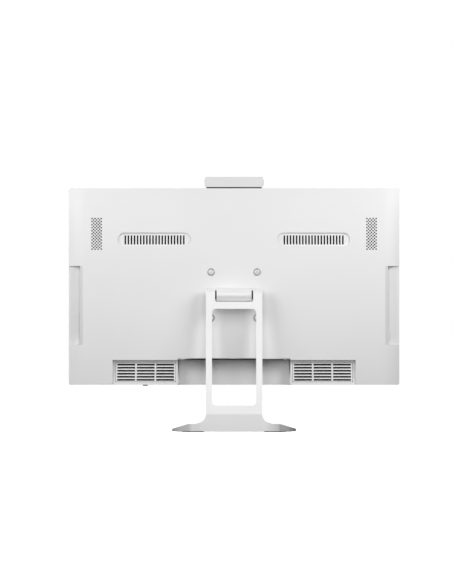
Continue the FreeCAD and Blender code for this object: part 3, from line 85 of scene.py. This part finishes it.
FINISHES = {
    # Moulded casing, sprayed satin silver white: a fine spark texture under the paint.
    "silver_plastic": Finish(
        (0.86, 0.86, 0.86), 0.45, cloud=(6.0, 0.012), worn=(9.0, 0.04), grain=(2600.0, 0.00002),
    ),
    # Powder coat on the metal of the stand, a little lighter and smoother than the casing.
    "silver_paint": Finish(
        (0.94, 0.94, 0.942), 0.42, cloud=(14.0, 0.012), worn=(20.0, 0.04),
        grain=(1500.0, 0.000012), metallic=0.1,
    ),
    # The camera pod: the casing's plastic, made a shade deeper than the casing as painted shade.
    "pod_plastic_painted_shade": Finish(
        (0.775, 0.775, 0.78), 0.45, cloud=(14.0, 0.012), worn=(20.0, 0.04), grain=(2600.0, 0.00002),
    ),
    # The mouldings that line the side notches and the port bay, deeper still: painted shade of the
    # recesses they line.
    "recess_plastic_painted_shade": Finish(
        (0.72, 0.72, 0.725), 0.48, cloud=(10.0, 0.012), worn=(16.0, 0.04), grain=(2600.0, 0.00002),
    ),
    "black_plastic": Finish(
        (0.018, 0.018, 0.02), 0.45, cloud=(12.0, 0.12), worn=(25.0, 0.06), grain=(2200.0, 0.00003),
    ),
    "dark_plastic": Finish(
        (0.035, 0.035, 0.038), 0.55, cloud=(30.0, 0.15), worn=(40.0, 0.06), grain=(1800.0, 0.00003),
    ),
    # Darkened steel: the backlight tray, and the washers under the display screws, where its dark
    # ring is painted shade round the domed heads.
    "dark_steel": Finish(
        (0.40, 0.40, 0.41), 0.38, cloud=(60.0, 0.06), worn=(80.0, 0.06), grain=(1200.0, 0.00001),
        metallic=1.0,
    ),
    # Brushed level: the grain is finest along z.
    "bare_steel": Finish(
        (0.60, 0.60, 0.61), 0.32, cloud=(40.0, 0.06), worn=(60.0, 0.08), grain=(900.0, 0.00001),
        stretch=(1, 1, 12), metallic=1.0,
    ),
    "bright_screws": Finish(
        (0.76, 0.76, 0.77), 0.42, cloud=(120.0, 0.06), worn=(150.0, 0.08), grain=(3000.0, 0.00001),
        metallic=0.35,
    ),
    "screen_glass": Finish(
        (0.006, 0.006, 0.008), 0.22, cloud=(5.0, 0.2), worn=(14.0, 0.03), grain=(5000.0, 0.000006),
        sockets={"Coat Weight": 0.4, "Coat Roughness": 0.28},
    ),
    "dark_glass": Finish(
        (0.01, 0.01, 0.012), 0.07, cloud=(40.0, 0.2), worn=(60.0, 0.02), grain=(900.0, 0.000003),
        sockets={"Coat Weight": 0.6},
    ),
    # Solder mask with tracks faintly raised under it.
    "board_green": Finish(
        (0.02, 0.10, 0.05), 0.38, cloud=(240.0, 0.3), worn=(90.0, 0.08), grain=(700.0, 0.00006),
        stretch=(1, 1, 0.2),
    ),
    "brass_posts": Finish(
        (0.70, 0.52, 0.22), 0.30, cloud=(90.0, 0.08), worn=(120.0, 0.08), grain=(3000.0, 0.00001),
        metallic=1.0,
    ),
    "copper": Finish(
        (0.72, 0.36, 0.22), 0.30, cloud=(60.0, 0.1), worn=(80.0, 0.1), grain=(1500.0, 0.00001),
        metallic=1.0,
    ),
    "aluminium_fins": Finish(
        (0.70, 0.70, 0.71), 0.38, cloud=(60.0, 0.05), worn=(80.0, 0.06), grain=(2000.0, 0.00001),
        stretch=(1, 8, 1), metallic=1.0,
    ),
    "rubber_pads": Finish(
        (0.16, 0.16, 0.165), 0.8, cloud=(60.0, 0.12), worn=(80.0, 0.06), grain=(1200.0, 0.00008),
        specular=0.3,
    ),
    # Black woven gauze, deep enough to swallow the light: its near-black is partly painted shade of
    # the casing's inside behind the slots.
    "filter_mesh": Finish(
        (0.004, 0.004, 0.004), 0.95, cloud=(80.0, 0.3), worn=(90.0, 0.04), grain=(2400.0, 0.0001),
        stretch=(1, 1, 0.3), specular=0.05,
    ),
    # The camera window: clear enough to show the lens behind it.
    "smoked_glass": Finish(
        (0.16, 0.16, 0.18), 0.05, cloud=(40.0, 0.1), worn=(60.0, 0.02), grain=(900.0, 0.000002),
        sockets={"Transmission Weight": 0.9},
    ),
    # Coated lens with a violet sheen.
    "lens_glass": Finish(
        (0.012, 0.008, 0.03), 0.04, cloud=(300.0, 0.5), worn=(300.0, 0.02), grain=(900.0, 0.000001),
        sockets={"Coat Weight": 1.0, "Coat Tint": (0.55, 0.45, 1.0, 1.0)},
    ),
    # Over-lit white paper: it glows enough to leave only contact shadows.
    "floor_white": Finish(
        (0.9, 0.9, 0.9), 0.9, cloud=(1.5, 0.004), specular=0.0,
        sockets={"Emission Color": (1.0, 1.0, 1.0, 1.0), "Emission Strength": 0.93},
    ),
}
FINISHES["dark_washers"] = FINISHES["dark_plastic"]

# Nodes whose finish isn't that of their slot: darker copies of the casing plastic, as painted
# shade.
FINISH_OF = {
    # the pod's deeper tone is painted shade
    "camera_pod": "pod_plastic_painted_shade",
    # the notch and bay linings are darkened as painted shade
    "side_port_plates": "recess_plastic_painted_shade",
    "port_bay_cover": "recess_plastic_painted_shade",
}


# Most of a noise's values lie between these.
NOISE_LOW, NOISE_HIGH = 0.3, 0.7


class Shader:
    """A principled material that is built up node by node."""

    def __init__(self, name, finish):
        self.material = bpy.data.materials.new(name)
        self.material.use_nodes = True
        self.tree = self.material.node_tree
        self.finish = finish
        self.sockets = self.tree.nodes["Principled BSDF"].inputs
        self.sockets["Base Color"].default_value = (*finish.color, 1.0)
        self.sockets["Roughness"].default_value = finish.roughness
        self.sockets["Metallic"].default_value = finish.metallic
        self.sockets["Specular IOR Level"].default_value = finish.specular
        for socket, value in finish.sockets.items():
            self.sockets[socket].default_value = value
        self.place = self.tree.nodes.new("ShaderNodeTexCoord").outputs["Object"]
        self.cloud()
        if finish.worn:
            self.worn()
        if finish.grain:
            self.grain()

    def link(self, start, end):
        self.tree.links.new(start, end)

    def stretched(self, scale):
        mapping = self.tree.nodes.new("ShaderNodeMapping")
        mapping.inputs["Scale"].default_value = scale
        self.link(self.place, mapping.inputs["Vector"])
        return mapping.outputs["Vector"]

    def noise(self, scale, detail, stretch=None):
        made = self.tree.nodes.new("ShaderNodeTexNoise")
        made.inputs["Scale"].default_value = scale
        made.inputs["Detail"].default_value = detail
        self.link(self.stretched(stretch) if stretch else self.place, made.inputs["Vector"])
        return made.outputs["Fac"]

    def ranged(self, source, low, high):
        """The middle of a noise's range, spread out between two values."""
        made = self.tree.nodes.new("ShaderNodeMapRange")
        made.inputs["From Min"].default_value = NOISE_LOW
        made.inputs["From Max"].default_value = NOISE_HIGH
        made.inputs["To Min"].default_value = low
        made.inputs["To Max"].default_value = high
        self.link(source, made.inputs["Value"])
        return made.outputs["Result"]

    def cloud(self):
        """Slow colour variation about the base colour."""
        scale, share = self.finish.cloud
        color = self.finish.color
        mix = self.tree.nodes.new("ShaderNodeMix")
        mix.data_type = "RGBA"
        self.link(self.ranged(self.noise(scale, detail=3.0), 0.0, 1.0), mix.inputs["Factor"])
        mix.inputs["A"].default_value = (*[c * (1 - share) for c in color], 1.0)
        mix.inputs["B"].default_value = (*[min(c * (1 + share), 1.0) for c in color], 1.0)
        self.link(mix.outputs["Result"], self.sockets["Base Color"])

    def worn(self):
        """Roughness that drifts a little from place to place."""
        scale, spread = self.finish.worn
        low, high = self.finish.roughness - spread, self.finish.roughness + spread
        drift = self.ranged(self.noise(scale, detail=4.0), low, high)
        self.link(drift, self.sockets["Roughness"])

    def grain(self):
        """A fine surface texture."""
        scale, depth = self.finish.grain
        bump = self.tree.nodes.new("ShaderNodeBump")
        bump.inputs["Strength"].default_value = 1.0
        bump.inputs["Distance"].default_value = depth
        self.link(self.noise(scale, 2.0, self.finish.stretch), bump.inputs["Height"])
        self.link(bump.outputs["Normal"], self.sockets["Normal"])


MATERIALS = {}


def material(name):
    """The material of a finish, made once."""
    if name not in MATERIALS:
        MATERIALS[name] = Shader(name, FINISHES[name]).material
    return MATERIALS[name]


def finish_of(node):
    return FINISH_OF.get(node, SLOT_OF[node])


def dress_frame():
    """Gives each CAD node its finish."""
    for node in SLOT_OF:
        slots = NODES[node].data.materials
        slots.clear()
        slots.append(material(finish_of(node)))


# ---------------------------------------------------------------- pieces


def piece(name, form, body, slot, replaced=(), finish=None):
    """Turns a bmesh into a smooth shaded piece that rides on a body."""
    bmesh.ops.recalc_face_normals(form, faces=form.faces)
    mesh = bpy.data.meshes.new(name)
    form.to_mesh(mesh)
    form.free()
    mesh.shade_smooth()
    mesh.set_sharp_from_angle(angle=CREASE)
    mesh.materials.append(material(finish or slot))
    thing = bpy.data.objects.new(name, mesh)
    bpy.context.collection.objects.link(thing)
    even = thing.modifiers.new("even", "WEIGHTED_NORMAL")
    even.keep_sharp = True
    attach(thing, body)
    if replaced:
        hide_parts(*replaced)
    return thing


def stand_in(node, form):
    """A piece that replaces one CAD node with a softer copy of it."""
    return piece(node + "_soft", form, BODY_OF[node], SLOT_OF[node], [node], finish_of(node))


def welded(node):
    """The mesh of a CAD node with its split edges joined."""
    form = bmesh.new()
    form.from_mesh(NODES[node].data)
    bmesh.ops.remove_doubles(form, verts=form.verts, dist=WELD)
    return form


def copy_of(node):
    """The mesh of a CAD node with its split edges joined and its flat faces made whole."""
    form = welded(node)
    bmesh.ops.dissolve_limit(form, angle_limit=FLAT, verts=form.verts, edges=form.edges)
    return form


def sharp_edges(form):
    return [edge for edge in form.edges if edge.is_manifold and edge.calc_face_angle() > SHARP]


def round_over(form, edges, width, segments=2, clamp=False):
    """Rounds edges over, and returns the new faces."""
    return bmesh.ops.bevel(
        form, geom=edges, offset=width, offset_type="OFFSET", segments=segments, profile=0.5,
        affect="EDGES", clamp_overlap=clamp,
    )["faces"]


# The nodes whose sharp edges are rounded over, and by how many millimetres.
SOFT_EDGES = {
    "neck": 0.7,
    "foot": 0.6,
    "front_bezel": 0.35,
    "power_button": 0.25,
    "louvre_grille_left": 0.3,
    "louvre_grille_right": 0.3,
    "vent_grille_left": 0.3,
    "vent_grille_right": 0.3,
    "hinge_bracket": 0.6,
    "port_strip": 0.3,
    "lock_collar": 0.3,
    "front_pads": 0.35,
    "rear_pads": 0.3,
    "camera_pod": 0.5,
}


def soft_edges():
    for node, width in SOFT_EDGES.items():
        form = copy_of(node)
        round_over(form, sharp_edges(form), width * MM, clamp=True)
        stand_in(node, form)


# ---------------------------------------------------------------- back of the casing


def back_edges(form, low, high, seams=()):
    """Edges where the outer skin of the back turns inwards, in a box and off the seams.

    The box is mirrored across the middle. A seam is an axis and how far out it lies.
    """
    least_turn = math.radians(40)
    faces_back, faces_aside = 0.75, 0.5
    on_seam = 0.02 * MM
    found = []
    for edge in form.edges:
        if not edge.is_manifold or edge.calc_face_angle() < least_turn:
            continue
        wall, skin = sorted(face.normal.y for face in edge.link_faces)
        if skin < faces_back or abs(wall) > faces_aside:
            continue
        middle = (edge.verts[0].co + edge.verts[1].co) / 2
        if not all(low[i] <= abs(middle[i]) <= high[i] for i in (0, 2)):
            continue
        if any(
            all(abs(abs(vert.co[axis]) - at) < on_seam for vert in edge.verts)
            for axis, at in seams
        ):
            continue
        found.append(edge)
    return found


def round_cover():
    """The lower mouldings of the back, rounded: widely along the bottom, finely elsewhere."""
    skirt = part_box("rear_cover")[0][2]
    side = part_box("rear_cover")[1][0]
    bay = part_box("port_bay_cover")[1][0]
    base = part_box("wing_covers")[0][2]
    seams = [(2, skirt), (0, side), (0, bay)]
    lip, beyond = 1.0 * MM, 1.0
    bottom = ((0, 0, base - lip), (beyond, 0, base + lip), 2.6 * MM)
    above = ((0, 0, base + lip), (beyond, 0, skirt), 0.5 * MM)
    for node, rounds in {"wing_covers": [bottom, above], "port_bay_cover": [bottom]}.items():
        form = copy_of(node)
        for low, high, width in rounds:
            round_over(form, back_edges(form, low, high, seams), width, segments=3, clamp=True)
        stand_in(node, form)


def true_normals(thing, node, new_faces):
    """Shades a changed copy's untouched faces as the CAD's, and its new ones as one soft round."""
    source = NODES[node].data
    digits = 5  # two corners that agree to a hundredth of a millimetre are one spot
    corners = {}
    for face in source.polygons:
        for loop in face.loop_indices:
            spot = source.vertices[source.loops[loop].vertex_index].co
            row = (face.normal.copy(), Vector(source.corner_normals[loop].vector))
            corners.setdefault(tuple(round(c, digits) for c in spot), []).append(row)
    tree = KDTree(len(corners))
    spots = list(corners)
    for i, spot in enumerate(spots):
        tree.insert(spot, i)
    tree.balance()
    mesh = thing.data
    at_edge = {}
    normals = [Vector((0, 0, 1))] * len(mesh.loops)
    for face in mesh.polygons:
        if face.index in new_faces:
            continue
        for loop in face.loop_indices:
            vert = mesh.loops[loop].vertex_index
            rows = corners[spots[tree.find(mesh.vertices[vert].co)[1]]]
            normals[loop] = max(rows, key=lambda row: row[0].dot(face.normal))[1]
            at_edge[vert] = normals[loop]
    for face in mesh.polygons:
        if face.index in new_faces:
            for loop in face.loop_indices:
                vert = mesh.loops[loop].vertex_index
                normals[loop] = at_edge.get(vert) or mesh.vertices[vert].normal.copy()
    thing.modifiers.clear()
    mesh.normals_split_custom_set(normals)


def round_vents():
    """The middle of the back, with the rims of its two vents rounded."""
    low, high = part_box("vent_grille_left")
    lip = 1.0 * MM
    form = welded("rear_cover")
    rims = back_edges(form, (low[0] - lip, 0, low[2] - lip), (high[0] + lip, 0, high[2] + lip))
    made = round_over(form, rims, 0.9 * MM, segments=3)
    form.faces.index_update()
    new_faces = {face.index for face in made}
    true_normals(stand_in("rear_cover", form), "rear_cover", new_faces)


# ---------------------------------------------------------------- turned and boxed forms


def spun(form, centre, radius, along, angle):
    """A new corner at a radius and an angle about an axis through a centre along +Y."""
    offset = Vector((radius * math.cos(angle), along, radius * math.sin(angle)))
    return form.verts.new(Vector(centre) + offset)


def even_angles(count):
    return [2 * math.pi * i / count for i in range(count)]


def turned(form, profile, centre, steps=40):
    """Adds a solid turned about -Y: (radius, along) pairs, from the axis back to the axis."""
    rings = [
        [spun(form, centre, radius, -along, angle) for angle in even_angles(steps if radius else 1)]
        for radius, along in profile
    ]
    for low, high in zip(rings, rings[1:]):
        for i in range(steps):
            j = (i + 1) % steps
            corners = [
                low[i % len(low)], low[j % len(low)], high[j % len(high)], high[i % len(high)],
            ]
            form.faces.new(list(dict.fromkeys(corners)))


def hollow_ring(form, profile, centre, steps=40):
    """Adds a ring turned about Y: a closed loop of (radius, along) pairs, clear of the axis."""
    rows = [
        [spun(form, centre, radius, along, angle) for radius, along in profile]
        for angle in even_angles(steps)
    ]
    for i, row in enumerate(rows):
        after = rows[(i + 1) % steps]
        for j in range(len(profile)):
            k = (j + 1) % len(profile)
            form.faces.new([row[j], row[k], after[k], after[j]])


def brick(form, low, high, rounding):
    """Adds a box between two corners, its edges rounded over."""
    middle = (Vector(low) + Vector(high)) / 2
    size = Vector(high) - Vector(low)
    made = bmesh.ops.create_cube(form, size=1.0)["verts"]
    place = Matrix.Translation(middle) @ Matrix.Diagonal((*size, 1.0))
    bmesh.ops.transform(form, matrix=place, verts=made)
    round_over(form, list({edge for vert in made for edge in vert.link_edges}), rounding)


# ---------------------------------------------------------------- screws


def quarters(node):
    """The box of each of four alike solids that stand round a node's middle."""
    low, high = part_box(node)
    middle = (Vector(low) + Vector(high)) / 2
    groups = {}
    for vert in NODES[node].data.vertices:
        groups.setdefault((vert.co.x > middle.x, vert.co.z > middle.z), []).append(vert.co)
    return [
        [Vector([pick(spot[i] for spot in spots) for i in range(3)]) for pick in (min, max)]
        for spots in groups.values()
    ]


def cross_reach(angle, half_width, half_length):
    """How far a cross of four straight arms reaches from its middle, at an angle."""
    folded = angle % (math.pi / 2)
    folded = min(folded, math.pi / 2 - folded)
    along = half_length / math.cos(folded)
    straight_on = 1e-6
    if folded < straight_on:
        return along
    return min(along, half_width / math.sin(folded))


def crosshead(form, profile, centre, mouth, floor):
    """Adds a screw turned about Y, whose top ends in a cross recess.

    The profile is a list of (radius, along) pairs. The recess's mouth and floor are each a half
    width, a half length and a place along the axis, in the same proportion.
    """
    arm = math.atan2(mouth[0], mouth[1])
    between = [math.radians(degrees) for degrees in range(18, 73, 9)]
    quarter = [0.0, arm, *between, math.pi / 2 - arm]
    angles = [turn * math.pi / 2 + angle for turn in range(4) for angle in quarter]
    rows = [[(radius, along)] * len(angles) for radius, along in profile]
    for half_width, half_length, along in (mouth, floor):
        rows.append([(cross_reach(a, half_width, half_length), along) for a in angles])
    tip = spun(form, centre, 0.0, profile[0][1], 0.0)
    well = spun(form, centre, 0.0, floor[2], 0.0)
    rings = [
        [spun(form, centre, *spot, angle) for spot, angle in zip(row, angles)] for row in rows
    ]
    count = len(angles)
    for i in range(count):
        j = (i + 1) % count
        form.faces.new([tip, rings[0][i], rings[0][j]])
        for low, high in zip(rings, rings[1:]):
            form.faces.new([low[j], low[i], high[i], high[j]])
        form.faces.new([rings[-1][i], rings[-1][j], well])


# The side of a screw's domed head, as shares of the node's radius and of the head's height.
HEAD_DOME = ((0.74, 0.0), (0.74, 0.60), (0.71, 0.78), (0.62, 0.91), (0.50, 0.98))


def screw_profile(shank, radius, head):
    """From a screw's tip, at a negative shank, up its thread and over its head, which is at 0."""
    point, root, crest = 1.6 * MM, 1.7 * MM, 2.0 * MM
    pitch, plain = 0.7 * MM, 1.2 * MM
    profile = [(point, shank), (crest, shank + 0.4 * MM)]
    for i in range(int((-shank - plain) / pitch)):
        along = shank + 0.6 * MM + i * pitch
        profile += [(crest, along), (root, along + pitch / 2)]
    profile += [(crest, -0.2 * MM), (crest, 0.0)]
    return profile + [(radius * wide, head * high) for wide, high in HEAD_DOME]


def display_screws():
    """The four crosshead screws of the 75 mm square: domed heads on washers darkened as painted
    shade.
    """
    form = bmesh.new()
    washers = bmesh.new()
    head = 2.4 * MM
    recess_mouth = (0.48 * MM, 2.1 * MM, head)
    recess_floor = (0.30 * MM, 1.3125 * MM, 1.1 * MM)
    chamfer = 0.15 * MM
    for low, high in quarters("vesa_screws"):
        radius = (high.x - low.x) / 2
        bore = radius * 0.76
        centre = Vector(((low.x + high.x) / 2, high.y - head, (low.z + high.z) / 2))
        profile = screw_profile(low.y - centre.y, radius, head)
        crosshead(form, profile, centre, recess_mouth, recess_floor)
        ring = [
            (bore, 0.0),
            (radius - chamfer, 0.0),
            (radius, chamfer),
            (radius, head * 0.30),
            (radius * 0.93, head * 0.42),
            (bore, head * 0.36),
        ]
        hollow_ring(washers, ring, centre)
    piece("display_screws", form, "display", "bright_screws", ["vesa_screws"])
    # the washers' dark steel is painted shade round each head
    piece("screw_washers_painted_shade", washers, "display", "dark_steel")


# ---------------------------------------------------------------- camera


def camera_eye():
    """The camera behind its window: a stepped hood round a bulging coated lens."""
    low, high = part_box("camera_lens")
    radius = (high.x - low.x) / 2
    deep = high.y - low.y
    centre = Vector(((low.x + high.x) / 2, high.y, (low.z + high.z) / 2))
    steps, step_in, step_down = 5, 0.42 * MM, 0.28 * MM
    chamfer, lip, play = 0.3 * MM, 0.5 * MM, 0.12 * MM
    floor = deep - steps * step_down
    profile = [(0.0, 0.0), (radius, 0.0), (radius, deep - chamfer), (radius - chamfer, deep)]
    for i in range(steps):
        rim = radius - lip - i * step_in
        profile += [(rim, deep - i * step_down), (rim, deep - (i + 1) * step_down)]
    profile.append((0.0, floor))
    hood = bmesh.new()
    turned(hood, profile, centre)
    piece("camera_hood", hood, "camera", "dark_plastic", ["camera_lens"])
    rim = radius - lip - play - (steps - 1) * step_in
    bulge, rows = 0.55, 8
    arcs = [math.pi / 2 * i / rows for i in range(rows)]
    profile = [(rim * math.cos(a), floor + rim * bulge * math.sin(a)) for a in arcs]
    glass = bmesh.new()
    turned(glass, [(0.0, floor), *profile, (0.0, floor + rim * bulge)], centre)
    piece("camera_glass", glass, "camera", "dark_glass", finish="lens_glass")


def camera_window():
    """The strip of smoked glass over the camera, its edges rounded over."""
    form = copy_of("camera_window")
    round_over(form, sharp_edges(form), 0.15 * MM)
    name, replaced = "camera_window_glass", ["camera_window"]
    piece(name, form, "camera", "dark_glass", replaced, finish="smoked_glass")


def camera_coils():
    """The two lift springs, with a mesh of their own."""
    form = welded("camera_springs")
    slot = SLOT_OF["camera_springs"]
    coils = piece("camera_coils", form, "display", slot, ["camera_springs"])
    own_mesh(coils)


# ---------------------------------------------------------------- contacts in the sockets


def contact_rows():
    """Gilt springs: four in each rear socket, and eight in the network socket."""
    form = bmesh.new()
    rounding = 0.08 * MM

    low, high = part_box("rear_usb_sockets")
    sockets, apart = 4, 16 * MM
    springs, pitch, half_width, thick = 4, 2.1 * MM, 0.45 * MM, 0.22 * MM
    first = low.x + (high.x - low.x - (sockets - 1) * apart) / 2
    y = low.y + 0.2 * (high.y - low.y) + 2.1 * MM
    bottom, top = low.z + 2.2 * MM, high.z - 3 * MM
    for i in range(sockets):
        for j in range(springs):
            x = first + i * apart + (j - (springs - 1) / 2) * pitch
            brick(form, (x - half_width, y, bottom), (x + half_width, y + thick, top), rounding)

    low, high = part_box("network_socket")
    springs, pitch, half_width, thick = 8, 1.02 * MM, 0.2 * MM, 0.7 * MM
    y = low.y + 2.5 * MM
    bottom, top = low.z + 3 * MM, low.z + 12 * MM
    for j in range(springs):
        x = (low.x + high.x) / 2 + (j - (springs - 1) / 2) * pitch
        brick(form, (x - half_width, y, bottom), (x + half_width, y + thick, top), rounding)
    piece("gilt_contacts", form, "display", "brass_posts")


# ---------------------------------------------------------------- floor, lights and camera


def make_floor():
    """A wide flat white floor, which throws no light back on the object."""
    mesh = bpy.data.meshes.new("floor")
    floor = bpy.data.objects.new("floor", mesh)
    bpy.context.collection.objects.link(floor)
    form = bmesh.new()
    reach = 60.0
    corners = [(-reach, -reach), (reach, -reach), (reach, reach), (-reach, reach)]
    form.faces.new([form.verts.new((x, y, 0.0)) for x, y in corners])
    form.to_mesh(mesh)
    form.free()
    mesh.materials.append(material("floor_white"))
    floor.visible_diffuse = False
    floor.visible_glossy = False


class SoftBox(NamedTuple):
    """A square light that is aimed at the middle of the computer."""

    azimuth: float  # degrees from +Y towards +X
    elevation: float  # degrees above the table
    distance: float  # metres
    size: float  # metres across
    power: float  # watts


SOFT_BOXES = {
    "key": SoftBox(-50, 22, 1.0, 0.5, 4.95),
    "fill": SoftBox(50, 22, 1.0, 0.5, 4.05),
    "front": SoftBox(0, 4, 1.0, 0.5, 2.2),
    "skim": SoftBox(78, 4, 1.7, 0.7, 3.8),
    "screen_side": SoftBox(150, 20, 1.7, 0.7, 7.0),
}


def make_soft_boxes():
    middle = Vector((0.0, 0.0, 0.25))
    for name, box in SOFT_BOXES.items():
        turn, lift = math.radians(box.azimuth), math.radians(box.elevation)
        way = Vector((
            math.sin(turn) * math.cos(lift), math.cos(turn) * math.cos(lift), math.sin(lift),
        ))
        light = bpy.data.lights.new(name, "AREA")
        light.size = box.size
        light.energy = box.power
        lamp = bpy.data.objects.new(name, light)
        bpy.context.collection.objects.link(lamp)
        lamp.location = middle + way * box.distance
        lamp.rotation_euler = (middle - lamp.location).to_track_quat("-Z", "Y").to_euler()


def make_surround():
    """A white surround that the camera sees, and a dimmer one that lights the object."""
    seen_strength, lighting_strength = 1.0, 0.12
    world = bpy.data.worlds.new("studio")
    bpy.context.scene.world = world
    world.use_nodes = True
    tree = world.node_tree
    background = tree.nodes["Background"]
    background.inputs["Color"].default_value = (1.0, 1.0, 1.0, 1.0)
    seen = tree.nodes.new("ShaderNodeLightPath").outputs["Is Camera Ray"]
    strength = tree.nodes.new("ShaderNodeMapRange")
    strength.inputs["To Min"].default_value = lighting_strength
    strength.inputs["To Max"].default_value = seen_strength
    tree.links.new(seen, strength.inputs["Value"])
    tree.links.new(strength.outputs["Result"], background.inputs["Strength"])


def make_camera():
    """Looks along -Y from far behind the computer, so that the view is almost flat."""
    frame_height = 0.9548
    distance, height = 20.0, 0.115
    aim = Vector((0.0132, 0.0, 0.2287))
    camera = bpy.data.cameras.new("camera")
    camera.sensor_width = 36.0
    camera.lens = camera.sensor_width * distance / frame_height
    camera.clip_end = 200.0
    thing = bpy.data.objects.new("camera", camera)
    bpy.context.collection.objects.link(thing)
    thing.location = (aim.x, distance, height)
    thing.rotation_euler = (aim - thing.location).to_track_quat("-Z", "Y").to_euler()
    bpy.context.scene.camera = thing


dress_frame()
round_cover()
round_vents()
soft_edges()
display_screws()
camera_eye()
camera_window()
camera_coils()
contact_rows()
make_floor()
make_surround()
make_soft_boxes()
make_camera()
bpy.context.scene.view_settings.view_transform = "Standard"
